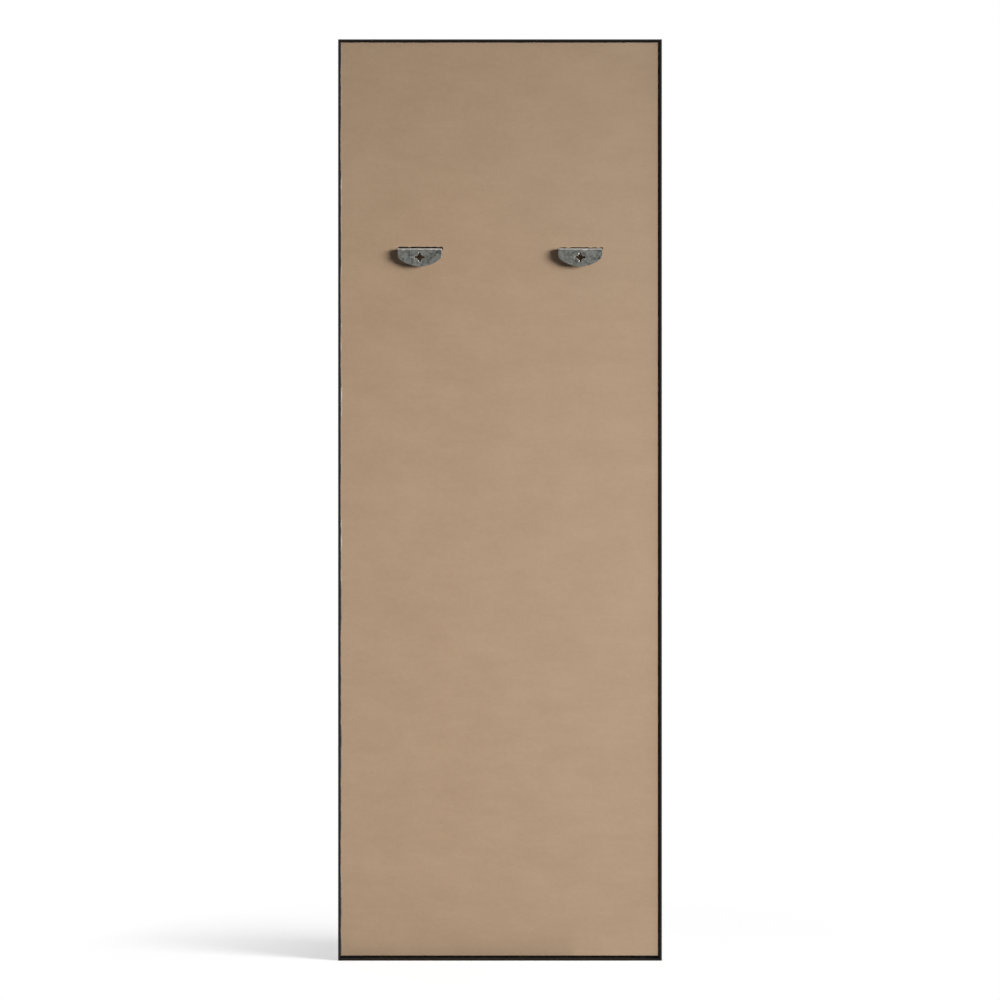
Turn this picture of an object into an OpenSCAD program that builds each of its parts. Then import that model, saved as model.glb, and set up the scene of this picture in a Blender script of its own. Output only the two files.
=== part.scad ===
// Tall leaner mirror in a slim black aluminium frame, seen from behind in its photograph.
// X runs across the width, the glass faces -Y, the board faces +Y and Z points up.
// The origin lies under the middle of the bottom rail, halfway through the frame's depth.
// Left and right are as seen from the front, so left lies at -X.

/* [Frame] */
// Overall width of the frame
frame_w = 610; // [560:5:900]
// Overall height of the frame
frame_h = 1736; // [1200:1:2000]
// Gap left between two rails at each mitred corner
mitre_gap = 0.1; // [0.05:0.05:0.4]

/* [Rail profile] */
// Thickness of the rail's outer wall
wall_t = 1.5; // [1.2:0.1:2]
// Width of the front lip that covers the edge of the glass
front_lip_w = 8; // [7.5:0.5:20]
// Thickness of the front lip
front_lip_t = 1.5; // [1:0.1:3]
// Width of the back lip that runs round the board
back_lip_w = 4.2; // [3.4:0.2:5]
// Thickness of the back lip
back_lip_t = 1.5; // [1:0.1:2]
// Thickness of the rib behind the glass
rib_t = 1.5; // [1:0.1:2.5]
// Thickness of the inner wall of the key channel
channel_wall_t = 1.2; // [1:0.1:2]
// Thickness of the shelf that the board is glued to
shelf_t = 1.5; // [1:0.1:2.5]
// Reach of the shelf, from the rail's outer face
shelf_reach = 16; // [15:0.5:20]
// Width of the slot in the shelf through which the key screws are turned
channel_slot_w = 5; // [4.4:0.2:6]

/* [Glass] */
// Thickness of the mirror glass
glass_t = 4; // [3:0.5:6]
// Gap between the edge of the glass and the rail's outer wall
glass_gap = 0.5; // [0.3:0.1:1.5]
// Thickness of the silver coating with its paint
coating_t = 0.1; // [0.05:0.05:0.2]
// Thickness of the safety film that holds broken glass together
film_t = 0.2; // [0.1:0.05:0.5]
// Gap between the safety film and the rib behind it
groove_gap = 0.3; // [0.1:0.1:1]
// Width of the tape between the front lip and the glass
tape_w = 4.5; // [3:0.5:5]
// Thickness of that tape
tape_t = 1; // [0.5:0.1:2]
// Distance of the tape from the inner edge of the front lip
tape_setback = 1; // [0.5:0.1:1.4]

/* [Back board] */
// Thickness of the back board
board_t = 9; // [8:0.5:15]
// Depth of the board's face below the back edge of the frame
board_recess = 1.5; // [1:0.1:4]
// Gap between the board and the back lip on the left
board_gap_left = 3.1; // [0.2:0.1:4]
// Gap between the board and the back lip on the right
board_gap_right = 0.8; // [0.2:0.1:4]
// Gap between the board and the back lip at the top
board_gap_top = 1.8; // [0.2:0.1:5]
// Gap between the board and the back lip at the bottom
board_gap_bottom = 5.4; // [0.2:0.1:6]
// Width of the glue bead that holds the board to the shelf
glue_w = 4; // [2:0.2:5]
// Thickness of that glue bead
glue_t = 0.8; // [0.4:0.1:2]
// Distance of the glue bead from the shelf's inner edge
glue_setback = 0.8; // [0.2:0.1:1]
// Width of a spacer strip between the safety film and the board
spacer_w = 40; // [20:2:60]
// Gap between the outer spacer strips and the shelf
spacer_gap = 1; // [0.5:0.5:10]

/* [Hangers] */
// Distance between the middles of the two hangers
hanger_spacing = 302; // [240:2:340]
// Distance from the frame's top edge down to the top of the hangers
hanger_drop = 394.5; // [150:0.5:700]
// Width of a hanger plate
hanger_w = 83; // [60:1:86]
// Height of a hanger plate
hanger_h = 34; // [30:1:40]
// Radius of the plate's rounded bottom edge
hanger_bow_r = 60; // [56:1:120]
// Radius where the bottom edge meets the plate's sides
hanger_side_r = 9; // [2:0.5:12]
// Thickness of the hanger's sheet steel
hanger_t = 2; // [1.5:0.1:2.5]
// Distance from the board's face to the outer face of a hanger plate
hanger_standoff = 10; // [7:0.5:14]
// Distance from each side of a hanger plate to the web behind it
web_inset = 1.5; // [0:0.1:4]
// Radius on the inside of the hanger's fold
fold_r = 1; // [0.5:0.1:2]
// Diameter of the round middle of the cross-shaped hole
cross_d = 11; // [9:0.5:13]
// Width of the four arms of the cross-shaped hole
cross_arm_w = 4.6; // [4.4:0.2:6]
// Width of the cross-shaped hole from tip to tip
cross_w = 20; // [15:0.5:22]
// Height of the cross-shaped hole from tip to tip
cross_h = 19; // [16:0.5:22]
// Depth of the hole's middle below the top of the plate
cross_drop = 17; // [15:0.2:18]
// Play at the left end of each slot that a hanger passes through
slot_play_left = 3.3; // [0.3:0.1:4]
// Play at the right end of each slot
slot_play_right = 0.7; // [0.3:0.1:4]
// Gap between the left slot's upper edge and its hanger
slot_gap_top_left = 2.9; // [0.5:0.1:4.5]
// Gap between the right slot's upper edge and its hanger
slot_gap_top_right = 4; // [0.5:0.1:4.5]
// Gap between each slot's lower edge and its hanger
slot_gap_bottom = 0.3; // [0.2:0.1:1]
// Width of a hanger's two tabs
tab_w = 14; // [10:1:18]
// Distance between the middles of the two tabs
tab_spacing = 50; // [40:1:60]
// Length of a tab beyond its anchor plate, where it is hammered over
tab_end = 0.8; // [0.4:0.1:1.5]
// Gap round a tab in its anchor plate
tab_gap = 0.2; // [0.1:0.05:0.4]
// Width of an anchor plate
anchor_w = 100; // [94:1:110]
// Height of an anchor plate
anchor_h = 44; // [36:1:56]
// Thickness of an anchor plate
anchor_t = 2; // [1.5:0.1:2.5]

/* [Fixings] */
// Diameter of the wood screws that hold an anchor plate
screw_d = 4; // [3:0.5:4.5]
// Length of those screws below the head
screw_l = 9.5; // [6:0.5:10]
// Length of a screw's point
screw_point = 2.5; // [1.5:0.5:3]
// Diameter of the screw's pan head
head_d = 8; // [7:0.5:9]
// Height of the screw's pan head
head_h = 2.4; // [2:0.1:3]
// Width of the cross recess in the head
recess_w = 1.2; // [0.8:0.1:1.6]
// Depth of the cross recess
recess_d = 1.2; // [0.8:0.1:1.5]
// Distance from a screw's middle to the anchor plate's nearest edges
screw_inset = 8; // [6:0.5:10]
// Gap round a screw in its hole
screw_gap = 0.1; // [0.05:0.05:0.2]
// Gap beyond a wood screw's point in the board
screw_end_gap = 0.3; // [0.1:0.1:0.5]
// Width of a corner key's legs
key_w = 7.6; // [7:0.2:9]
// Thickness of a corner key
key_t = 3.2; // [2.5:0.1:4]
// Length of each leg, from the key's outer corner
key_leg = 48; // [44:1:80]
// Gap between a key and each side of its channel
key_gap = 0.2; // [0.1:0.05:0.4]
// Play of a key through the depth of its channel
key_play = 0.4; // [0.2:0.1:0.8]
// Diameter of the grub screws that clamp a key
grub_d = 4; // [3:0.5:4]
// Length of a grub screw
grub_l = 4; // [3.8:0.2:5]
// Width across the flats of a grub screw's socket
grub_socket = 2; // [1.5:0.5:2.5]
// Depth of that socket
grub_socket_depth = 1.6; // [1:0.2:2]
// Distance from a key's outer corner to its nearer grub screws
grub_start = 20; // [16:1:24]
// Distance between the two grub screws in a leg
grub_pitch = 18; // [12:1:20]

/* [Hidden] */

$fn = 48;
cut_past = 1; // how far a cutting shape runs past the faces it cuts

// Depths, counted from the front face of the frame towards the back
tape_at = front_lip_t;
glass_at = tape_at + tape_t;
coating_at = glass_at + glass_t;
film_at = coating_at + coating_t;
spacer_at = film_at + film_t;
rib_at = spacer_at + groove_gap;
channel_at = rib_at + rib_t;
shelf_at = channel_at + key_t + key_play;
key_at = shelf_at - key_t;
glue_at = shelf_at + shelf_t;
board_at = glue_at + glue_t;
board_face_at = board_at + board_t;
frame_d = board_face_at + board_recess;
anchor_at = board_at - anchor_t;
hanger_face_at = board_face_at + hanger_standoff;

// Distances inwards from the outer face of a rail
channel_w = key_w + 2 * key_gap;
channel_end = wall_t + channel_w;
slot_start = wall_t + (channel_w - channel_slot_w) / 2;
slot_end = slot_start + channel_slot_w;
key_inset = wall_t + key_gap;
key_middle = wall_t + channel_w / 2;
tape_inset = front_lip_w - tape_setback - tape_w;
glue_inset = shelf_reach - glue_setback - glue_w;
spacer_inset = shelf_reach + spacer_gap;
glass_inset = wall_t + glass_gap;

// Edges of the board
board_left = -frame_w / 2 + back_lip_w + board_gap_left;
board_right = frame_w / 2 - back_lip_w - board_gap_right;
board_bottom = back_lip_w + board_gap_bottom;
board_top = frame_h - back_lip_w - board_gap_top;

hanger_top = frame_h - hanger_drop;
hanger_mid = hanger_top - hanger_t / 2; // middle of the web's thickness
slot_top_left = hanger_top + slot_gap_top_left;
slot_top_right = hanger_top + slot_gap_top_right;
slot_bottom = hanger_top - hanger_t - slot_gap_bottom;
web_half = hanger_w / 2 - web_inset;
fold_outer = fold_r + hanger_t;

black = [0.16, 0.155, 0.15];
key_black = [0.22, 0.22, 0.225];
zinc = [0.62, 0.64, 0.65];
steel = [0.55, 0.56, 0.58];
board_brown = [0.66, 0.55, 0.44];
glue_cream = [0.85, 0.8, 0.68];
card_brown = [0.72, 0.6, 0.45];

// The angle that turns the bottom side to the side named
function turn_to(side) = side == "bottom" ? 0 : side == "left" ? 90 : side == "top" ? 180 : 270;

function is_level(side) = side == "bottom" || side == "top";

// Half the frame's size across a side, and half of it along the side
function half_across(side) = (is_level(side) ? frame_h : frame_w) / 2;
function half_along(side) = (is_level(side) ? frame_w : frame_h) / 2;

// Puts a shape drawn for the bottom side on the side named, with Y counted from the front face
module on_side(side) {
    translate([0, -frame_d / 2, frame_h / 2])
        rotate([0, turn_to(side), 0])
            translate([0, 0, -half_across(side)])
                children();
}

// Puts a shape drawn for the bottom left corner on the corner named, with Y from the front face
module on_corner(x_sign, z_level, turn) {
    translate([x_sign * frame_w / 2, -frame_d / 2, z_level * frame_h])
        rotate([0, 90 * turn, 0])
            children();
}

// A slab in the frame's plane, given by its edges and its depth from the front face
module slab(x0, x1, z0, z1, depth, thickness) {
    translate([x0, depth - frame_d / 2, z0])
        cube([x1 - x0, thickness, z1 - z0]);
}

// A straight strip along one side. The strips at the left and right stop short of the others.
module edge_strip(side, inset, width, depth, thickness) {
    stop = inset + (is_level(side) ? 0 : width);
    reach = half_along(side) - stop;
    on_side(side)
        translate([-reach, depth, inset])
            cube([2 * reach, thickness, width]);
}

// The rail's section: inwards from the outer face along X, from front to back along Y
module rail_profile() {
    square([wall_t, frame_d]);
    square([front_lip_w, front_lip_t]);
    translate([0, rib_at])
        square([channel_end + channel_wall_t, rib_t]);
    translate([channel_end, rib_at])
        square([channel_wall_t, glue_at - rib_at]);
    translate([0, shelf_at])
        square([slot_start, shelf_t]);
    translate([slot_end, shelf_at])
        square([shelf_reach - slot_end, shelf_t]);
    translate([0, frame_d - back_lip_t])
        square([back_lip_w, back_lip_t]);
}

// One rail with both ends mitred
module rail(side) {
    half = half_along(side);
    end = half - mitre_gap / sqrt(2);
    reach = max(shelf_reach, front_lip_w) + cut_past;
    on_side(side)
        intersection() {
            translate([-half, 0, 0])
                rotate([90, 0, 90])
                    linear_extrude(2 * half)
                        rail_profile_upright();
            translate([0, frame_d + cut_past, 0])
                rotate([90, 0, 0])
                    linear_extrude(frame_d + 2 * cut_past)
                        polygon([[-end, 0], [end, 0], [end - reach, reach], [reach - end, reach]]);
        }
}

// The section turned so that its depth lies along X and its reach along Y
module rail_profile_upright() {
    mirror([1, -1, 0])
        rail_profile();
}

// Places of the grub screws along a leg, from the key's outer corner
function grub_places() = [grub_start, grub_start + grub_pitch];

// Puts a shape at each grub screw of a key, pointing towards the back
module at_grubs() {
    for (place = grub_places()) {
        translate([key_inset + place, 0, key_middle])
            rotate([-90, 0, 0])
                children();
        translate([key_middle, 0, key_inset + place])
            rotate([-90, 0, 0])
                children();
    }
}

module corner_key() {
    difference() {
        translate([key_inset, key_at, key_inset]) {
            cube([key_leg, key_t, key_w]);
            cube([key_w, key_t, key_leg]);
        }
        at_grubs()
            translate([0, 0, key_at - cut_past])
                cylinder(h = key_t + 2 * cut_past, d = grub_d + 2 * screw_gap);
    }
}

// The grub screws press on the rib and push the key back against the shelf
module key_screws() {
    at_grubs()
        translate([0, 0, channel_at])
            difference() {
                cylinder(h = grub_l, d = grub_d);
                translate([0, 0, grub_l - grub_socket_depth])
                    cylinder(h = grub_socket_depth + cut_past, d = grub_socket / cos(30), $fn = 6);
            }
}

// Puts a shape at each screw of an anchor plate, pointing out of the back of the board
module at_anchor_screws() {
    for (x = [-1, 1] * (anchor_w / 2 - screw_inset))
        for (z = [-1, 1] * (anchor_h / 2 - screw_inset))
            translate([x, -frame_d / 2, hanger_mid + z])
                rotate([-90, 0, 0])
                    children();
}

// A pan head wood screw, with the underside of its head at the anchor plate
module wood_screw() {
    shank_r = screw_d / 2;
    head_r = head_d / 2;
    crown = head_h / 3;
    translate([0, 0, anchor_at])
        difference() {
            rotate_extrude()
                polygon([[0, screw_l], [shank_r, screw_l - screw_point], [shank_r, 0], [head_r, 0],
                    [head_r, crown - head_h], [head_r - crown, -head_h], [0, -head_h]]);
            for (turn = [0, 90])
                rotate([0, 0, turn])
                    translate([-head_r / 2, -recess_w / 2, -head_h - cut_past])
                        cube([head_r, recess_w, recess_d + cut_past]);
        }
}

module hanger_screws() {
    at_anchor_screws()
        wood_screw();
}

module anchor_holes() {
    at_anchor_screws()
        translate([0, 0, anchor_at - cut_past])
            cylinder(h = cut_past + screw_l + screw_end_gap, d = screw_d + 2 * screw_gap);
}

module hanger_anchor() {
    difference() {
        slab(-anchor_w / 2, anchor_w / 2, hanger_mid - anchor_h / 2, hanger_mid + anchor_h / 2,
            anchor_at, anchor_t);
        anchor_holes();
        for (x = [-1, 1] * tab_spacing / 2)
            slab(x - tab_w / 2 - tab_gap, x + tab_w / 2 + tab_gap, hanger_top - hanger_t - tab_gap,
                hanger_top + tab_gap, anchor_at - cut_past, anchor_t + 2 * cut_past);
    }
}

// Points along an arc, both ends included
function arc(cx, cy, r, from, to, steps) =
    [for (i = [0:steps]) let (a = from + (to - from) * i / steps) [cx + r * cos(a), cy + r * sin(a)]];

// The half-moon outline of a hanger plate, with its straight top edge below the fold
module half_moon() {
    half = hanger_w / 2;
    bow_y = hanger_bow_r - hanger_h;
    side_x = half - hanger_side_r;
    side_angle = acos(side_x / (hanger_bow_r - hanger_side_r));
    side_y = bow_y - (hanger_bow_r - hanger_side_r) * sin(side_angle);
    polygon(concat(
        [[-half, -fold_outer]],
        arc(-side_x, side_y, hanger_side_r, 180, 180 + side_angle, 8),
        arc(0, bow_y, hanger_bow_r, 180 + side_angle, 360 - side_angle, 36),
        arc(side_x, side_y, hanger_side_r, 360 - side_angle, 360, 8),
        [[half, -fold_outer]]));
}

// The cross-shaped hole takes a screw head in its middle and the screw's shank in an arm
module cross_hole() {
    circle(d = cross_d);
    for (x = [-1, 1] * (cross_w - cross_arm_w) / 2)
        translate([x, 0])
            circle(d = cross_arm_w);
    for (y = [-1, 1] * (cross_h - cross_arm_w) / 2)
        translate([0, y])
            circle(d = cross_arm_w);
    square([cross_w - cross_arm_w, cross_arm_w], center = true);
    square([cross_arm_w, cross_h - cross_arm_w], center = true);
}

// The plate hangs from a web that passes through the board and ends in two tabs
module hanger() {
    fold_at = hanger_face_at - fold_outer;
    translate([0, hanger_face_at - frame_d / 2, hanger_top])
        rotate([90, 0, 0])
            linear_extrude(hanger_t)
                difference() {
                    half_moon();
                    translate([0, -cross_drop])
                        cross_hole();
                }
    translate([-hanger_w / 2, fold_at - frame_d / 2, hanger_top - fold_outer])
        rotate([90, 0, 90])
            linear_extrude(hanger_w)
                intersection() {
                    difference() {
                        circle(r = fold_outer);
                        circle(r = fold_r);
                    }
                    square(fold_outer);
                }
    slab(-web_half, web_half, hanger_top - hanger_t, hanger_top, board_at, fold_at - board_at);
    for (x = [-1, 1] * tab_spacing / 2)
        slab(x - tab_w / 2, x + tab_w / 2, hanger_top - hanger_t, hanger_top, anchor_at - tab_end,
            anchor_t + tab_end + cut_past);
}

// Puts a shape on the left hanger at -1 or on the right one at 1
module on_hanger(x_sign) {
    translate([x_sign * hanger_spacing / 2, 0, 0])
        children();
}

module frame_rail_top() { color(black) rail("top"); }
module frame_rail_bottom() { color(black) rail("bottom"); }
module frame_rail_left() { color(black) rail("left"); }
module frame_rail_right() { color(black) rail("right"); }

module corner_key_bottom_left() { color(key_black) on_corner(-1, 0, 0) corner_key(); }
module corner_key_top_left() { color(key_black) on_corner(-1, 1, 1) corner_key(); }
module corner_key_top_right() { color(key_black) on_corner(1, 1, 2) corner_key(); }
module corner_key_bottom_right() { color(key_black) on_corner(1, 0, 3) corner_key(); }

module key_screws_bottom_left() { color(key_black) on_corner(-1, 0, 0) key_screws(); }
module key_screws_top_left() { color(key_black) on_corner(-1, 1, 1) key_screws(); }
module key_screws_top_right() { color(key_black) on_corner(1, 1, 2) key_screws(); }
module key_screws_bottom_right() { color(key_black) on_corner(1, 0, 3) key_screws(); }

module glazing_tape(side) {
    color("dimgray")
        edge_strip(side, tape_inset, tape_w, tape_at, tape_t);
}

module glazing_tape_top() { glazing_tape("top"); }
module glazing_tape_bottom() { glazing_tape("bottom"); }
module glazing_tape_left() { glazing_tape("left"); }
module glazing_tape_right() { glazing_tape("right"); }

// A sheet as large as the glass
module glass_sheet(depth, thickness) {
    half = frame_w / 2 - glass_inset;
    slab(-half, half, glass_inset, frame_h - glass_inset, depth, thickness);
}

module mirror_glass() { color("lightblue") glass_sheet(glass_at, glass_t); }
module mirror_coating() { color("silver") glass_sheet(coating_at, coating_t); }
module safety_film() { color("slategray") glass_sheet(film_at, film_t); }

module spacer(side) {
    color(card_brown)
        edge_strip(side, spacer_inset, spacer_w, spacer_at, board_at - spacer_at);
}

module spacer_top() { spacer("top"); }
module spacer_bottom() { spacer("bottom"); }
module spacer_left() { spacer("left"); }
module spacer_right() { spacer("right"); }

module spacer_centre() {
    stop = spacer_inset + spacer_w;
    color(card_brown)
        slab(-spacer_w / 2, spacer_w / 2, stop, frame_h - stop, spacer_at, board_at - spacer_at);
}

module board_glue(side) {
    color(glue_cream)
        edge_strip(side, glue_inset, glue_w, glue_at, glue_t);
}

module board_glue_top() { board_glue("top"); }
module board_glue_bottom() { board_glue("bottom"); }
module board_glue_left() { board_glue("left"); }
module board_glue_right() { board_glue("right"); }

module back_board() {
    color(board_brown)
        difference() {
            slab(board_left, board_right, board_bottom, board_top, board_at, board_t);
            for (x_sign = [-1, 1])
                on_hanger(x_sign) {
                    slab(-web_half - slot_play_left, web_half + slot_play_right, slot_bottom,
                        x_sign < 0 ? slot_top_left : slot_top_right, board_at - cut_past,
                        board_t + 2 * cut_past);
                    anchor_holes();
                }
        }
}

module hanger_left() { color(zinc) on_hanger(-1) hanger(); }
module hanger_right() { color(zinc) on_hanger(1) hanger(); }
module hanger_anchor_left() { color(zinc) on_hanger(-1) hanger_anchor(); }
module hanger_anchor_right() { color(zinc) on_hanger(1) hanger_anchor(); }
module hanger_screws_left() { color(steel) on_hanger(-1) hanger_screws(); }
module hanger_screws_right() { color(steel) on_hanger(1) hanger_screws(); }

frame_rail_top();
frame_rail_bottom();
frame_rail_left();
frame_rail_right();
corner_key_top_left();
corner_key_top_right();
corner_key_bottom_left();
corner_key_bottom_right();
key_screws_top_left();
key_screws_top_right();
key_screws_bottom_left();
key_screws_bottom_right();
glazing_tape_top();
glazing_tape_bottom();
glazing_tape_left();
glazing_tape_right();
mirror_glass();
mirror_coating();
safety_film();
spacer_top();
spacer_bottom();
spacer_left();
spacer_right();
spacer_centre();
board_glue_top();
board_glue_bottom();
board_glue_left();
board_glue_right();
back_board();
hanger_left();
hanger_right();
hanger_anchor_left();
hanger_anchor_right();
hanger_screws_left();
hanger_screws_right();
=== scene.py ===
import math

import bmesh
import bpy
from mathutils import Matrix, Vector

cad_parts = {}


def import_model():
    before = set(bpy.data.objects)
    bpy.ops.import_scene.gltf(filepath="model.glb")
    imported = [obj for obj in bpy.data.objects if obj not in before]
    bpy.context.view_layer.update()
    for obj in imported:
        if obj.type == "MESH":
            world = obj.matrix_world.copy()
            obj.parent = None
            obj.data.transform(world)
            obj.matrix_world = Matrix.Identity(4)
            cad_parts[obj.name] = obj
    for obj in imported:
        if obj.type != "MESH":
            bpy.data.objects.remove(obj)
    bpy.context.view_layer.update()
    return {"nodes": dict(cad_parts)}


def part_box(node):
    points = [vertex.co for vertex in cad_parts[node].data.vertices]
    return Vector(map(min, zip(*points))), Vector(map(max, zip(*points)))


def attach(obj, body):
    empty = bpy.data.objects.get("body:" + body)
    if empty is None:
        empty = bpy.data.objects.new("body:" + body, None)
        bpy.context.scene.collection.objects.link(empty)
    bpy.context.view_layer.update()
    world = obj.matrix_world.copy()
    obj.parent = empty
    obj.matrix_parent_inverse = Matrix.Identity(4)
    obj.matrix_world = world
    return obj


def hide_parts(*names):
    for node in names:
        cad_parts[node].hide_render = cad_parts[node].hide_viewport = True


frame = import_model()
scene = bpy.context.scene
cad = frame["nodes"]

# All lengths are in metres, but for the sensor's, which is in millimetres

# How the photograph was taken
CAMERA_DISTANCE = 5.0
CAMERA_REACH = 200
METRES_PER_PIXEL = 0.001884
PICTURE_SIDE = 1000
SENSOR_WIDTH = 36.0

# Colours as written in a render: red, green, blue, linear
FIBRE_LIGHT = (0.455, 0.318, 0.208)
FIBRE_DARK = (0.415, 0.286, 0.183)
FIBRE_SPECK = (0.27, 0.17, 0.10)
# Paler, greyer board colour, mixed in as painted sheen towards the lamp's side
FIBRE_SHEEN = (0.435, 0.36, 0.30)
FIBRE_EDGE = (0.20, 0.125, 0.075)
BEHIND_BOARD_TINT = (0.085, 0.064, 0.046)
# Dark grey used for the coat's paler rubs, for the darkening at the board's foot and on the glue, and
# for the painted shadow along the board's side
GRIME_AND_SHADE = (0.045, 0.040, 0.035)
COAT_BLACK = (0.0115, 0.0090, 0.0075)
# Anchor steel tones, made dark as painted shade in the hangers' slots
ANCHOR_SHADE_DARK = (0.030, 0.031, 0.031)
ANCHOR_SHADE_PALE = (0.090, 0.092, 0.090)
SCREW_DARK = (0.42, 0.42, 0.40)
SCREW_LIGHT = (0.62, 0.62, 0.60)
ANODISED_DARK = (0.010, 0.010, 0.011)
ANODISED_LIGHT = (0.022, 0.022, 0.023)
ZINC_DARK = (0.052, 0.0545, 0.050)
ZINC_LIGHT = (0.170, 0.174, 0.162)
ZINC_WARM = (0.150, 0.142, 0.128)
ZINC_BRIGHT = (0.33, 0.335, 0.32)
# Pale zinc of the worn edges, and of the painted highlight along the fold
ZINC_WORN_AND_HIGHLIGHT = (0.59, 0.57, 0.54)
FOAM_DARK = (0.012, 0.012, 0.012)
FOAM_LIGHT = (0.035, 0.035, 0.035)
GLASS_GREEN = (0.945, 0.975, 0.958)
GLASS_CLEAR = (0.955, 0.980, 0.966)
SILVER_DARK = (0.885, 0.895, 0.890)
SILVER_LIGHT = (0.905, 0.912, 0.908)
FILM_DARK = (0.10, 0.13, 0.17)
FILM_LIGHT = (0.17, 0.20, 0.24)
CARD_DARK = (0.30, 0.21, 0.13)
CARD_LIGHT = (0.46, 0.34, 0.22)
GLUE_CREAM = (0.62, 0.55, 0.42)
GLUE_LIGHT = (0.72, 0.66, 0.54)
GLUE_SMEAR = (0.190, 0.160, 0.134)
GLUE_PALE = (0.42, 0.375, 0.335)
FLOOR_DARK = (0.59, 0.59, 0.59)
FLOOR_LIGHT = (0.61, 0.61, 0.61)
FLOOR_BOUNCE = (0.28, 0.28, 0.28)  # the floor throws less light back than it shows

# Painted sheen: the board turns paler and greyer between two places across it, more and more towards
# the lamp's side, up to a share of the pale colour
SHEEN_ACROSS = (0.10, -0.20)
SHEEN_SHARE = 0.09

# The board darkens towards its foot, halving with each step up. The steps grow between two places
# across the board, and the darkening sets in between two others, along a ragged line
FOOT_STEPS = (0.0145, 0.0195)
FOOT_STEPS_ACROSS = (-0.13, 0.05)
FOOT_ACROSS = (-0.132, -0.098)
FOOT_RAGGED = 0.05
FOOT_SHARE = 0.35

# Painted shadow of the frame's lip along the board's side nearest the lamp, which halves with each step
# inward from its edge
LIP_SHADOW_EDGE = -0.296
LIP_SHADOW_STEP = 0.010
LIP_SHADOW_SHARE = 0.095

# The squeezed-out glue turns darker low down: between two heights the darkening sets in, up to a share
GLUE_DARKER_BELOW = (0.78, 0.64)
GLUE_DARKENING_SHARE = 0.50

# A hanger: the depth of the painted highlight along its fold and of the painted highlight streaks below
# it, and the gap above it in its slot
FOLD_HIGHLIGHT_DEPTH = 0.0027
STREAK_HIGHLIGHT_DEPTH = 0.0035
SLOT_GAPS = {"hanger_left": 0.0029, "hanger_right": 0.004}

# A hanger's hole: how far its middle lies below the hanger's top, how far from there the wear round
# it reaches, and how bright it is
HOLE_DROP = 0.017
HOLE_REACH = 0.012
HOLE_WEAR = 0.7

# A hanger's worn edges: how nearly they still face straight up or out where the wear begins and
# where it is full, how bright they are worn in patches, and how smooth
RIM_FACING = (0.985, 0.93)
RIM_WEAR = (0.0, 0.3)
RIM_ROUGHNESS = 0.36


# Building blocks of a material

def new_material(name, roughness, metallic=0.0, specular=0.5):
    """A material, its node tree and its shader, whose plain roughness a link may replace."""
    material = bpy.data.materials.new(name)
    material.use_nodes = True
    tree = material.node_tree
    shader = tree.nodes["Principled BSDF"]
    shader.inputs["Roughness"].default_value = roughness
    shader.inputs["Metallic"].default_value = metallic
    shader.inputs["Specular IOR Level"].default_value = specular
    return material, tree, shader


def object_point(tree, stretch=(1, 1, 1)):
    """The place on the object, stretched along each axis."""
    place = tree.nodes.new("ShaderNodeTexCoord")
    mapping = tree.nodes.new("ShaderNodeMapping")
    mapping.inputs["Scale"].default_value = stretch
    tree.links.new(place.outputs["Object"], mapping.inputs["Vector"])
    return mapping.outputs["Vector"]


def noise(tree, scale, stretch=(1, 1, 1), detail=3.0, roughness=0.55):
    """Soft noise from 0 to 1, with scale in features to the metre."""
    node = tree.nodes.new("ShaderNodeTexNoise")
    node.inputs["Scale"].default_value = scale
    node.inputs["Detail"].default_value = detail
    node.inputs["Roughness"].default_value = roughness
    tree.links.new(object_point(tree, stretch), node.inputs["Vector"])
    return node.outputs["Fac"]


def cells(tree, scale):
    """One random value to each cell, as in crystals or grains, with scale in cells to the metre."""
    node = tree.nodes.new("ShaderNodeTexVoronoi")
    node.inputs["Scale"].default_value = scale
    tree.links.new(object_point(tree), node.inputs["Vector"])
    split = tree.nodes.new("ShaderNodeSeparateColor")
    tree.links.new(node.outputs["Color"], split.inputs["Color"])
    return split.outputs["Red"]


def stripes(tree, scale, direction, distortion):
    """Even waves from 0 to 1 along one direction."""
    node = tree.nodes.new("ShaderNodeTexWave")
    node.bands_direction = direction
    node.inputs["Scale"].default_value = scale
    node.inputs["Distortion"].default_value = distortion
    tree.links.new(object_point(tree), node.inputs["Vector"])
    return node.outputs["Fac"]


def spread(tree, value, ends, to=(0.0, 1.0)):
    """Maps values between the two ends to values between two others, and holds them there."""
    node = tree.nodes.new("ShaderNodeMapRange")
    sockets = ("From Min", "From Max", "To Min", "To Max")
    for socket, number in zip(sockets, (*ends, *to)):
        node.inputs[socket].default_value = number
    tree.links.new(value, node.inputs["Value"])
    return node.outputs["Result"]


def math_node(tree, operation, a, b):
    """One step of arithmetic on two values, each a socket or a number."""
    node = tree.nodes.new("ShaderNodeMath")
    node.operation = operation
    for socket, value in zip(node.inputs, (a, b)):
        if isinstance(value, (int, float)):
            socket.default_value = value
        else:
            tree.links.new(value, socket)
    return node.outputs["Value"]


def times(tree, a, b):
    return math_node(tree, "MULTIPLY", a, b)


def plus(tree, a, b):
    return math_node(tree, "ADD", a, b)


def minus(tree, a, b):
    return math_node(tree, "SUBTRACT", a, b)


def larger(tree, a, b):
    return math_node(tree, "MAXIMUM", a, b)


def below(tree, a, b):
    """1 where a is less than b, and 0 elsewhere."""
    return math_node(tree, "LESS_THAN", a, b)


def size_of(tree, value):
    """The value without its sign."""
    return math_node(tree, "ABSOLUTE", value, 0)


def halved(tree, distance, step):
    """1 where the distance is 0, and half as much with each step."""
    return math_node(tree, "POWER", 0.5, math_node(tree, "DIVIDE", distance, step))


def blended(tree, *parts):
    """The sum of several values, each times its share."""
    shares = [times(tree, value, share) for value, share in parts]
    total = shares[0]
    for share in shares[1:]:
        total = plus(tree, total, share)
    return total


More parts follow.
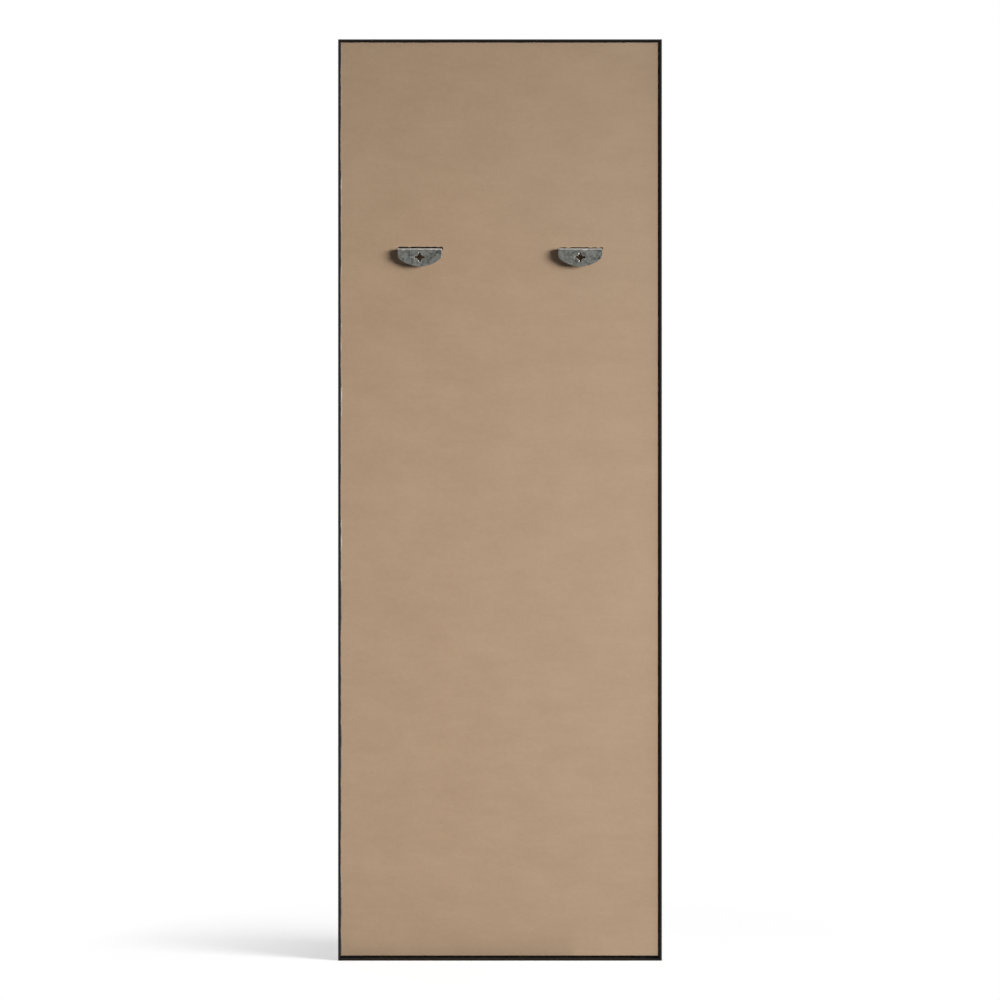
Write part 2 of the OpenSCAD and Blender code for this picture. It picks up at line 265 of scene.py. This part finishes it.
# The Mix node's sockets for colours go by number, because those for plain values have their names
MIX_COLOURS = (6, 7)
MIX_RESULT = 2


def mixed(tree, share, *colours):
    """The first colour where share is 0 and the second where it is 1. Each is a socket or a colour."""
    node = tree.nodes.new("ShaderNodeMix")
    node.data_type = "RGBA"
    tree.links.new(share, node.inputs["Factor"])
    for number, colour in zip(MIX_COLOURS, colours):
        if isinstance(colour, tuple):
            node.inputs[number].default_value = (*colour, 1)
        else:
            tree.links.new(colour, node.inputs[number])
    return node.outputs[MIX_RESULT]


def turned_to(tree, axis):
    """How far the surface faces along one axis, from -1 to 1."""
    node = tree.nodes.new("ShaderNodeNewGeometry")
    split = tree.nodes.new("ShaderNodeSeparateXYZ")
    tree.links.new(node.outputs["Normal"], split.inputs["Vector"])
    return split.outputs[axis]


def facing(tree, axis):
    """How far the surface faces along one axis, from 0 to 1, either way."""
    return size_of(tree, turned_to(tree, axis))


def along(tree, axis):
    """The place on the object along one axis."""
    place = tree.nodes.new("ShaderNodeTexCoord")
    split = tree.nodes.new("ShaderNodeSeparateXYZ")
    tree.links.new(place.outputs["Object"], split.inputs["Vector"])
    return split.outputs[axis]


def seen_directly(tree):
    """1 for what the camera sees, also in gloss or through glass, and 0 for light on other things."""
    rays = tree.nodes.new("ShaderNodeLightPath")
    seen = larger(tree, rays.outputs["Is Camera Ray"], rays.outputs["Is Glossy Ray"])
    return larger(tree, seen, rays.outputs["Is Transmission Ray"])


def coloured(tree, shader, colour):
    """Gives the shader its colour."""
    tree.links.new(colour, shader.inputs["Base Color"])


def roughened(tree, shader, roughness):
    """Gives the shader its roughness."""
    tree.links.new(roughness, shader.inputs["Roughness"])


def bumped(tree, shader, shape, height, strength=1.0):
    """Gives the shader a bump of that shape and height."""
    node = tree.nodes.new("ShaderNodeBump")
    node.inputs["Strength"].default_value = strength
    node.inputs["Distance"].default_value = height
    tree.links.new(shape, node.inputs["Height"])
    tree.links.new(node.outputs["Normal"], shader.inputs["Normal"])


# Materials, one function each, after what the larger ones are put together from

def with_sheen_and_shade(tree, colour):
    """The board's colour, with painted sheen towards one side, darker towards its foot, and with
    painted shade along that side.
    """
    side = along(tree, "X")
    # Painted sheen: paler towards the lamp's side
    colour = mixed(tree, spread(tree, side, SHEEN_ACROSS, (0.0, SHEEN_SHARE)), colour, FIBRE_SHEEN)
    step = spread(tree, side, FOOT_STEPS_ACROSS, FOOT_STEPS)
    ragged = plus(tree, side, times(tree, noise(tree, 40), FOOT_RAGGED))
    set_in = spread(tree, ragged, FOOT_ACROSS, (0.0, FOOT_SHARE))
    foot = times(tree, halved(tree, along(tree, "Z"), step), set_in)
    colour = mixed(tree, foot, colour, GRIME_AND_SHADE)
    # Painted shadow of the frame's lip along the board's edge
    lip_shadow = times(tree, halved(tree, minus(tree, side, LIP_SHADOW_EDGE), LIP_SHADOW_STEP), LIP_SHADOW_SHARE)
    return mixed(tree, lip_shadow, colour, GRIME_AND_SHADE)


def fibreboard():
    """Raw brown fibreboard: mottling, faint level streaks, fibres, specks, painted sheen and shade,
    darkening at its foot, and dark sawn edges.
    """
    material, tree, shader = new_material("fibreboard", roughness=0.85, specular=0.2)
    mottle = noise(tree, 9, stretch=(1, 1, 1.6), detail=4.0, roughness=0.6)
    streak = noise(tree, 30, stretch=(0.6, 1, 2.6))
    tuft = noise(tree, 150, stretch=(0.8, 1, 1.1), detail=2.0)
    grain = noise(tree, 900, stretch=(0.4, 1, 1.0), detail=2.0)
    tone = blended(tree, (mottle, 0.40), (streak, 0.15), (tuft, 0.20), (grain, 0.25))
    colour = with_sheen_and_shade(tree, mixed(tree, spread(tree, tone, (0.40, 0.60)), FIBRE_DARK, FIBRE_LIGHT))
    speck = spread(tree, noise(tree, 420, stretch=(0.5, 1, 1.4), detail=2.0), (0.70, 0.78))
    colour = mixed(tree, times(tree, speck, 0.5), colour, FIBRE_SPECK)
    sawn = spread(tree, facing(tree, "Y"), (0.9, 0.5))
    coloured(tree, shader, mixed(tree, sawn, colour, FIBRE_EDGE))
    roughened(tree, shader, spread(tree, grain, (0.3, 0.7), (0.78, 0.93)))
    bumped(tree, shader, grain, height=0.00012, strength=0.6)
    return material


def powder_coat(board_front):
    """Matt black powder coat: orange peel, a few paler rubs, and a paler brown tone on what lies behind
    the board and faces the same way as its back.
    """
    material, tree, shader = new_material("powder_coat", roughness=0.5, specular=0.14)
    peel = noise(tree, 1100, detail=1.0)
    blotch = noise(tree, 60, detail=5.0, roughness=0.7)
    rub = spread(tree, noise(tree, 25, detail=4.0, roughness=0.7), (0.62, 0.80), (0.0, 0.5))
    colour = mixed(tree, times(tree, rub, blotch), COAT_BLACK, GRIME_AND_SHADE)
    inside = below(tree, along(tree, "Y"), board_front)
    tinted_behind = times(tree, inside, spread(tree, blotch, (0.3, 0.7), (0.6, 1.0)))
    tinted_behind = times(tree, tinted_behind, spread(tree, turned_to(tree, "Y"), (0.5, 0.9)))
    coloured(tree, shader, mixed(tree, tinted_behind, colour, BEHIND_BOARD_TINT))
    roughened(tree, shader, spread(tree, blotch, (0.3, 0.7), (0.42, 0.60)))
    bumped(tree, shader, peel, height=0.00006, strength=0.7)
    return material


def near_holes(tree, hole_across, hole_up):
    """1 near the two hangers' holes, and 0 elsewhere."""
    side = minus(tree, size_of(tree, along(tree, "X")), hole_across)
    rise = minus(tree, along(tree, "Z"), hole_up)
    square = plus(tree, times(tree, side, side), times(tree, rise, rise))
    return below(tree, square, HOLE_REACH * HOLE_REACH)


def painted_highlight_on_fold(tree, hanger_top):
    """1 on the painted highlight along a hanger's fold and on the painted highlight streaks below it,
    and 0 elsewhere.
    """
    streak = noise(tree, 110, stretch=(1, 0.05, 0.05), detail=2.0)
    streak_reach = spread(tree, streak, (0.50, 0.74), (0.0, STREAK_HIGHLIGHT_DEPTH))
    rise = plus(tree, along(tree, "Z"), streak_reach)
    return spread(tree, rise, (hanger_top - FOLD_HIGHLIGHT_DEPTH, hanger_top - FOLD_HIGHLIGHT_DEPTH / 2))


def worn_rim(tree, fold_highlight, hole_across, hole_up):
    """How bright a hanger's edges are worn: in patches, more round the hole, not at all on the fold."""
    flat = larger(tree, facing(tree, "Y"), facing(tree, "Z"))
    patches = spread(tree, noise(tree, 90), (0.4, 0.6), RIM_WEAR)
    handled = times(tree, near_holes(tree, hole_across, hole_up), HOLE_WEAR)
    rim = times(tree, spread(tree, flat, RIM_FACING), larger(tree, patches, handled))
    return times(tree, rim, minus(tree, 1, fold_highlight))


def galvanised_steel(hanger_top, hole_across, hole_up):
    """Dull galvanised sheet: crystals of uneven tone, pale blooms, scratches, and a painted highlight
    along the fold.
    """
    material, tree, shader = new_material("galvanised_steel", roughness=0.5, metallic=1.0)
    crystal = cells(tree, 230)
    bloom = noise(tree, 120, detail=4.0, roughness=0.6)
    tone = blended(tree, (crystal, 0.25), (bloom, 0.75))
    colour = mixed(tree, spread(tree, tone, (0.33, 0.67)), ZINC_DARK, ZINC_LIGHT)
    tint = spread(tree, noise(tree, 45, detail=2.0), (0.4, 0.6))
    colour = mixed(tree, times(tree, tint, 0.35), colour, ZINC_WARM)
    flake = spread(tree, noise(tree, 260, stretch=(1, 1, 1.3)), (0.60, 0.74))
    colour = mixed(tree, times(tree, flake, 0.6), colour, ZINC_BRIGHT)
    fold_highlight = painted_highlight_on_fold(tree, hanger_top)
    patchy = spread(tree, noise(tree, 130, stretch=(1, 0.1, 0.1)), (0.38, 0.62), (0.44, 0.68))
    # Painted highlight along the fold and in streaks below it
    colour = mixed(tree, times(tree, fold_highlight, patchy), colour, ZINC_WORN_AND_HIGHLIGHT)
    rim = worn_rim(tree, fold_highlight, hole_across, hole_up)
    coloured(tree, shader, mixed(tree, rim, colour, ZINC_WORN_AND_HIGHLIGHT))
    dull = spread(tree, tone, (0.2, 0.9), (0.62, 0.40))
    sleeker = times(tree, rim, minus(tree, dull, RIM_ROUGHNESS))
    roughened(tree, shader, minus(tree, dull, sleeker))
    scratch = noise(tree, 900, stretch=(0.15, 1, 1), detail=2.0)
    bumped(tree, shader, scratch, height=0.00005, strength=0.5)
    return material


def shaded_anchor_steel():
    """Steel of the anchor plates, darkened as painted shade in the hangers' slots, with patches of
    scale and pale rubs.
    """
    material, tree, shader = new_material("shaded_anchor_steel", roughness=0.6, metallic=1.0)
    patch = noise(tree, 140, stretch=(1, 1, 0.5), detail=4.0, roughness=0.6)
    coloured(tree, shader, mixed(tree, spread(tree, patch, (0.35, 0.65)), ANCHOR_SHADE_DARK, ANCHOR_SHADE_PALE))
    roughened(tree, shader, spread(tree, patch, (0.3, 0.7), (0.68, 0.50)))
    bumped(tree, shader, patch, height=0.00005, strength=0.5)
    return material


def turned_steel():
    """Zinc-plated screws: pale steel with small stains."""
    material, tree, shader = new_material("turned_steel", roughness=0.35, metallic=1.0)
    stain = noise(tree, 500, detail=4.0)
    coloured(tree, shader, mixed(tree, stain, SCREW_DARK, SCREW_LIGHT))
    roughened(tree, shader, spread(tree, stain, (0.3, 0.7), (0.28, 0.45)))
    return material


def blackened_metal():
    """Black anodised corner keys and blackened grub screws, with fine drawn lines."""
    material, tree, shader = new_material("blackened_metal", roughness=0.4, metallic=0.6)
    lines = noise(tree, 1500, stretch=(0.05, 1, 1), detail=2.0)
    coloured(tree, shader, mixed(tree, lines, ANODISED_DARK, ANODISED_LIGHT))
    roughened(tree, shader, spread(tree, lines, (0.3, 0.7), (0.33, 0.48)))
    return material


def foam_tape():
    """Dark foam tape with small pores."""
    material, tree, shader = new_material("foam_tape", roughness=0.9, specular=0.2)
    pores = noise(tree, 1600, detail=2.0)
    coloured(tree, shader, mixed(tree, pores, FOAM_DARK, FOAM_LIGHT))
    bumped(tree, shader, pores, height=0.0002)
    return material


def clear_glass():
    """Clear float glass, very faintly and unevenly green."""
    material, tree, shader = new_material("clear_glass", roughness=0.0)
    shader.inputs["Transmission Weight"].default_value = 1.0
    shader.inputs["IOR"].default_value = 1.52
    coloured(tree, shader, mixed(tree, noise(tree, 3, detail=1.0), GLASS_GREEN, GLASS_CLEAR))
    return material


def silvering():
    """The silver coating, as bright as a household mirror, with its faint unevenness."""
    material, tree, shader = new_material("silvering", roughness=0.004, metallic=1.0)
    cloud = noise(tree, 4, detail=2.0)
    coloured(tree, shader, mixed(tree, cloud, SILVER_DARK, SILVER_LIGHT))
    roughened(tree, shader, spread(tree, cloud, (0.2, 0.8), (0.0, 0.008)))
    return material


def backing_film():
    """Grey-blue safety film with small creases."""
    material, tree, shader = new_material("backing_film", roughness=0.4)
    crease = noise(tree, 80, stretch=(1, 1, 0.4), detail=4.0)
    coloured(tree, shader, mixed(tree, crease, FILM_DARK, FILM_LIGHT))
    bumped(tree, shader, crease, height=0.0003)
    return material


def honeycomb_card():
    """Brown card of the spacer strips, with its ribs and flecks."""
    material, tree, shader = new_material("honeycomb_card", roughness=0.85, specular=0.2)
    ribs = stripes(tree, 60, "Z", distortion=1.0)
    tone = times(tree, ribs, noise(tree, 500))
    coloured(tree, shader, mixed(tree, tone, CARD_DARK, CARD_LIGHT))
    bumped(tree, shader, ribs, height=0.0004)
    return material


def dried_glue():
    """Cream glue, dried with a slight sheen and small bubbles."""
    material, tree, shader = new_material("dried_glue", roughness=0.45)
    bubble = noise(tree, 900, detail=2.0)
    coloured(tree, shader, mixed(tree, bubble, GLUE_CREAM, GLUE_LIGHT))
    bumped(tree, shader, bubble, height=0.0002, strength=0.6)
    return material


def glue_film():
    """The thin smear of glue at the board's edge: greyish, with paler flecks, and darker low down."""
    material, tree, shader = new_material("glue_film", roughness=0.5, specular=0.3)
    patch = spread(tree, noise(tree, 22, detail=4.0, roughness=0.6), (0.50, 0.66))
    grain = noise(tree, 700, detail=2.0)
    colour = mixed(tree, patch, GLUE_SMEAR, GLUE_PALE)
    colour = mixed(tree, spread(tree, grain, (0.35, 0.75), (0.0, 0.3)), colour, FIBRE_DARK)
    darker_low = spread(tree, along(tree, "Z"), GLUE_DARKER_BELOW, (0.0, GLUE_DARKENING_SHARE))
    coloured(tree, shader, mixed(tree, darker_low, colour, GRIME_AND_SHADE))
    bumped(tree, shader, grain, height=0.0001, strength=0.5)
    return material


def dress(material, *names):
    """Puts one material on each CAD node named."""
    for name in names:
        slots = cad[name].data.materials
        slots.clear()
        slots.append(material)


def named(prefix):
    """The CAD nodes whose names start that way."""
    return [name for name in cad if name.startswith(prefix)]


# Rounded edges: how close points are joined, the angle in degrees under which faces count as one
# plane, the angle from which an edge is rounded, and the width and steps of each rounding
WELD_REACH = 1e-6
FLAT_UNDER = 0.5
SHARP_FROM = 40
RAIL_ROUNDING = (0.0002, 2)
HANGER_ROUNDING = (0.0006, 3)


def rounded(width, segments, *names):
    """Breaks the sharp edges of CAD nodes with a small rounding."""
    for name in names:
        weld = cad[name].modifiers.new("joined", "WELD")
        weld.merge_threshold = WELD_REACH
        flat = cad[name].modifiers.new("flat", "DECIMATE")
        flat.decimate_type = "DISSOLVE"
        flat.angle_limit = math.radians(FLAT_UNDER)
        bevel = cad[name].modifiers.new("edge", "BEVEL")
        bevel.width = width
        bevel.segments = segments
        bevel.limit_method = "ANGLE"
        bevel.angle_limit = math.radians(SHARP_FROM)
        bevel.harden_normals = True
        bevel.use_clamp_overlap = False


# New pieces

def object_from(mesh_builder, name, material):
    """An object made from a filled bmesh, in one material."""
    mesh = bpy.data.meshes.new(name)
    mesh_builder.normal_update()
    mesh_builder.to_mesh(mesh)
    mesh_builder.free()
    mesh.materials.append(material)
    piece = bpy.data.objects.new(name, mesh)
    scene.collection.objects.link(piece)
    return piece


def drawn_through(rings):
    """A closed bmesh drawn through rings of points, all with the same number of points."""
    bm = bmesh.new()
    before = None
    for points in rings:
        ring = [bm.verts.new(point) for point in points]
        if before is None:
            bm.faces.new(ring)
        else:
            for k in range(len(ring)):
                n = (k + 1) % len(ring)
                bm.faces.new((before[k], before[n], ring[n], ring[k]))
        before = ring
    bm.faces.new(before[::-1])
    bmesh.ops.recalc_face_normals(bm, faces=bm.faces[:])
    return bm


# Waves that add up to an irregular value: how fast each runs and where it starts, in radians, and
# its share. The sum is stretched about the middle, so that it now and then reaches 0 and 1
WAVES = ((19, 0.3, 0.30), (47, 1.7, 0.28), (113, 4.1, 0.20), (271, 2.2, 0.14), (653, 0.9, 0.08))
WAVES_STRETCH = 0.9


def uneven(place):
    """An irregular value from 0 to 1 that depends only on the place."""
    total = sum(share * math.sin(pace * place + start) for pace, start, share in WAVES)
    return min(max(0.5 + WAVES_STRETCH * total, 0), 1)


def between(ends, share):
    """The value that lies that share of the way from one end to the other."""
    return ends[0] + (ends[1] - ends[0]) * share


GLASS_EDGE = 0.0006
GLASS_FILM_OF_AIR = 0.00005


def glass_sheet():
    """The glass with its arrissed edges, a hair thinner than its solid so that it clears the silver."""
    low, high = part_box("mirror_glass")
    high.y -= GLASS_FILM_OF_AIR
    bm = bmesh.new()
    bmesh.ops.create_cube(bm, size=1.0)
    for vertex in bm.verts:
        for axis in range(3):
            vertex.co[axis] = low[axis] if vertex.co[axis] < 0 else high[axis]
    bmesh.ops.bevel(bm, geom=bm.edges[:], offset=GLASS_EDGE, segments=1, affect="EDGES")
    piece = object_from(bm, "arrissed_glass", clear_glass())
    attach(piece, "root")
    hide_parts("mirror_glass")


# The squeezed-out glue: how far it keeps from its neighbours, its steps along the edge, the least and
# most of its width and height, and its section as shares of both. The height varies as the width
# does some metres further on, so that the two don't go together
BACK_LIP_WIDTH = 0.0042
GLUE_CLEAR = 0.00001
GLUE_STEP = 0.0025
GLUE_WIDTH = (0.0009, 0.0032)
GLUE_HEIGHT = (0.00015, 0.00045)
GLUE_HEIGHT_SHIFT = 9
GLUE_SECTION = ((0.0, 0.0), (0.0, 0.6), (0.3, 1.0), (0.7, 0.75), (1.0, 0.0))


def glue_squeezed_out():
    """The thin uneven line of glue between the board and the lip, at the picture's left edge."""
    low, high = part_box("back_board")
    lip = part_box("frame_rail_right")[1].x - BACK_LIP_WIDTH - GLUE_CLEAR
    face = high.y + GLUE_CLEAR
    steps = int((high.z - low.z) / GLUE_STEP)
    rings = []
    for i in range(1, steps):
        z = low.z + i * GLUE_STEP
        width = between(GLUE_WIDTH, uneven(z))
        height = between(GLUE_HEIGHT, uneven(z + GLUE_HEIGHT_SHIFT))
        rings.append([(lip - across * width, face + up * height, z) for across, up in GLUE_SECTION])
    bm = drawn_through(rings)
    for side in bm.faces:
        side.smooth = True
    piece = object_from(bm, "glue_squeezed_out", glue_film())
    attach(piece, "root")


# The torn bits of fibre along the upper edge of each hanger's slot: how far each lies from the
# hanger's middle, its width, and how far it hangs down, which varies between two shares of that
TORN_BITS = {
    "hanger_right": ((0.0199, 0.0066, 0.0015), (-0.0206, 0.0040, 0.0009), (-0.0348, 0.0076, 0.0014)),
    "hanger_left": ((0.0383, 0.0096, 0.0018), (0.0223, 0.0086, 0.0017), (-0.0191, 0.0082, 0.0016),
                    (-0.0342, 0.0084, 0.0016)),
}
TORN_BIT_SHARES = (0.6, 1.1)
TORN_BIT_PACE = 6

# The fringe that joins the bits: how far it hangs down at most, how fast it varies, how far it
# reaches to each side of the hanger's middle, and its steps
FRINGE_DEPTH = 0.0003
FRINGE_PACE = 5
FRINGE_REACH = 0.044
FRINGE_STEP = 0.0004

# The section of both: how far in from the board's face each point lies, and its share of the depth
TORN_CLEAR = 0.00001
TORN_SECTION = ((TORN_CLEAR, 0), (0.0009, 0), (0.00063, 0.8), (0.00027, 1), (TORN_CLEAR, 0.85))


def torn_depth(place, bits):
    """How far the torn fibre hangs down at one place along the slot."""
    deepest = FRINGE_DEPTH * uneven(place * FRINGE_PACE)
    for middle, width, depth in bits:
        across = abs(place - middle) / (width / 2)
        if across < 1:
            ragged = between(TORN_BIT_SHARES, uneven(place * TORN_BIT_PACE))
            deepest = max(deepest, depth * ragged * (1 - across ** 3))
    return deepest


def torn_fibre(hanger, slot_gap, fibre):
    """A ragged fringe of fibre, left by the saw along the upper edge of a hanger's slot."""
    low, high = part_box(hanger)
    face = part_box("back_board")[1].y
    middle = (low.x + high.x) / 2
    edge = high.z + slot_gap - TORN_CLEAR
    steps = int(2 * FRINGE_REACH / FRINGE_STEP)
    rings = []
    for i in range(steps + 1):
        place = i * FRINGE_STEP - FRINGE_REACH
        depth = torn_depth(place, TORN_BITS[hanger])
        rings.append([(middle + place, face - inward, edge - down * depth)
                      for inward, down in TORN_SECTION])
    piece = object_from(drawn_through(rings), "torn_fibre_" + hanger.removeprefix("hanger_"), fibre)
    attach(piece, "root")


# Stage, light and camera

# The floor: its size, between which distances from the middle its shade gives way to plain white, and
# how strongly it glows where it is seen. After it, how strongly the world lights the object
FLOOR_RADIUS = 60.0
FLOOR_SIDES = 64
FLOOR_SHADE_TO = (0.35, 0.85)
FLOOR_GLOW = 0.53
WORLD_LIGHT = 0.025


def glowing(tree, strength):
    """White light from the surface, of a strength that is a socket."""
    node = tree.nodes.new("ShaderNodeEmission")
    tree.links.new(strength, node.inputs["Strength"])
    return node.outputs["Emission"]


def floor_material():
    """Pale floor, shaded near the object and plain white to the camera further off."""
    material, tree, shader = new_material("pale_floor", roughness=0.9, specular=0.1)
    seen = seen_directly(tree)
    pale = mixed(tree, noise(tree, 200, detail=2.0), FLOOR_DARK, FLOOR_LIGHT)
    coloured(tree, shader, mixed(tree, seen, FLOOR_BOUNCE, pale))
    point = tree.nodes.new("ShaderNodeNewGeometry")
    length = tree.nodes.new("ShaderNodeVectorMath")
    length.operation = "LENGTH"
    tree.links.new(point.outputs["Position"], length.inputs[0])
    far = spread(tree, length.outputs["Value"], FLOOR_SHADE_TO)
    white = tree.nodes.new("ShaderNodeEmission")
    white.inputs["Strength"].default_value = 1.0
    shaded = tree.nodes.new("ShaderNodeAddShader")
    tree.links.new(shader.outputs["BSDF"], shaded.inputs[0])
    tree.links.new(glowing(tree, times(tree, seen, FLOOR_GLOW)), shaded.inputs[1])
    choice = tree.nodes.new("ShaderNodeMixShader")
    tree.links.new(times(tree, far, seen), choice.inputs["Fac"])
    tree.links.new(shaded.outputs["Shader"], choice.inputs[1])
    tree.links.new(white.outputs["Emission"], choice.inputs[2])
    tree.links.new(choice.outputs["Shader"], tree.nodes["Material Output"].inputs["Surface"])
    return material


def floor():
    """A wide round floor, level with the mirror's foot."""
    bm = bmesh.new()
    bmesh.ops.create_circle(bm, cap_ends=True, segments=FLOOR_SIDES, radius=FLOOR_RADIUS)
    piece = object_from(bm, "floor", floor_material())


def world():
    """White to the camera and in reflections, and a softer even light on the object."""
    made = bpy.data.worlds.new("studio")
    scene.world = made
    made.use_nodes = True
    tree = made.node_tree
    background = tree.nodes["Background"]
    background.inputs["Color"].default_value = (1, 1, 1, 1)
    strength = spread(tree, seen_directly(tree), (0.0, 1.0), (WORLD_LIGHT, 1.0))
    tree.links.new(strength, background.inputs["Strength"])


# Lamps: name, place, aim, size across and up, power in watts, the angle in degrees that the lamp's
# grid lets through, and whether gloss and glass show it. The key stands to the photograph's right,
# on the side of the back board. The mirror would show the front lamp as a hard white patch
LAMPS = [
    ("key", (-5.47, 2.68, 1.9), (1.75, 0, 0.1), 2.6, 2.4, 90, 51, True),
    ("top", (0.2, 0.55, 4.4), (0, 0, 1.0), 2.4, 0.8, 20, 180, True),
    ("front", (1.8, -4.4, 2.6), (0, 0, 0.9), 4.0, 3.0, 80, 180, False),
]


def lamps():
    """Soft rectangular lamps, which the camera doesn't see."""
    for name, place, aim, across, up, power, grid, mirrored in LAMPS:
        data = bpy.data.lights.new(name, "AREA")
        data.shape = "RECTANGLE"
        data.size = across
        data.size_y = up
        data.energy = power
        data.spread = math.radians(grid)
        lamp = bpy.data.objects.new(name, data)
        lamp.location = place
        lamp.rotation_euler = (Vector(aim) - Vector(place)).to_track_quat("-Z", "Y").to_euler()
        lamp.visible_camera = False
        lamp.visible_glossy = mirrored
        lamp.visible_transmission = mirrored
        scene.collection.objects.link(lamp)


def camera():
    """Straight behind the mirror at half its height, level, as in the photograph."""
    low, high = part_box("frame_rail_left")[0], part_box("frame_rail_right")[1]
    data = bpy.data.cameras.new("camera")
    data.sensor_width = SENSOR_WIDTH
    data.lens = SENSOR_WIDTH * CAMERA_DISTANCE / (METRES_PER_PIXEL * PICTURE_SIDE)
    data.clip_end = CAMERA_REACH
    seen_from = bpy.data.objects.new("camera", data)
    seen_from.location = (0, high.y + CAMERA_DISTANCE, (low.z + high.z) / 2)
    seen_from.rotation_euler = (math.radians(90), 0, math.radians(180))
    scene.collection.objects.link(seen_from)
    scene.camera = seen_from


def dress_nodes(fibre):
    """Gives each CAD node its material, and rounds the rails and hangers."""
    dress(fibre, "back_board")
    board_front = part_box("back_board")[0].y
    dress(powder_coat(board_front), *named("frame_rail"))
    low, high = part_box("hanger_right")
    zinc = galvanised_steel(high.z, (low.x + high.x) / 2, high.z - HOLE_DROP)
    dress(zinc, "hanger_left", "hanger_right")
    dress(shaded_anchor_steel(), *named("hanger_anchor"))
    dress(turned_steel(), *named("hanger_screws"))
    dress(blackened_metal(), *named("corner_key"), *named("key_screws"))
    dress(foam_tape(), *named("glazing_tape"))
    dress(clear_glass(), "mirror_glass")
    dress(silvering(), "mirror_coating")
    dress(backing_film(), "safety_film")
    dress(honeycomb_card(), *named("spacer"))
    dress(dried_glue(), *named("board_glue"))
    rounded(*RAIL_ROUNDING, *named("frame_rail"))
    rounded(*HANGER_ROUNDING, "hanger_left", "hanger_right")


def build():
    """Makes the whole scene round the frame."""
    camera()
    fibre = fibreboard()
    dress_nodes(fibre)
    glass_sheet()
    glue_squeezed_out()
    for hanger, slot_gap in SLOT_GAPS.items():
        torn_fibre(hanger, slot_gap, fibre)
    floor()
    world()
    lamps()
    scene.view_settings.view_transform = "Standard"


build()
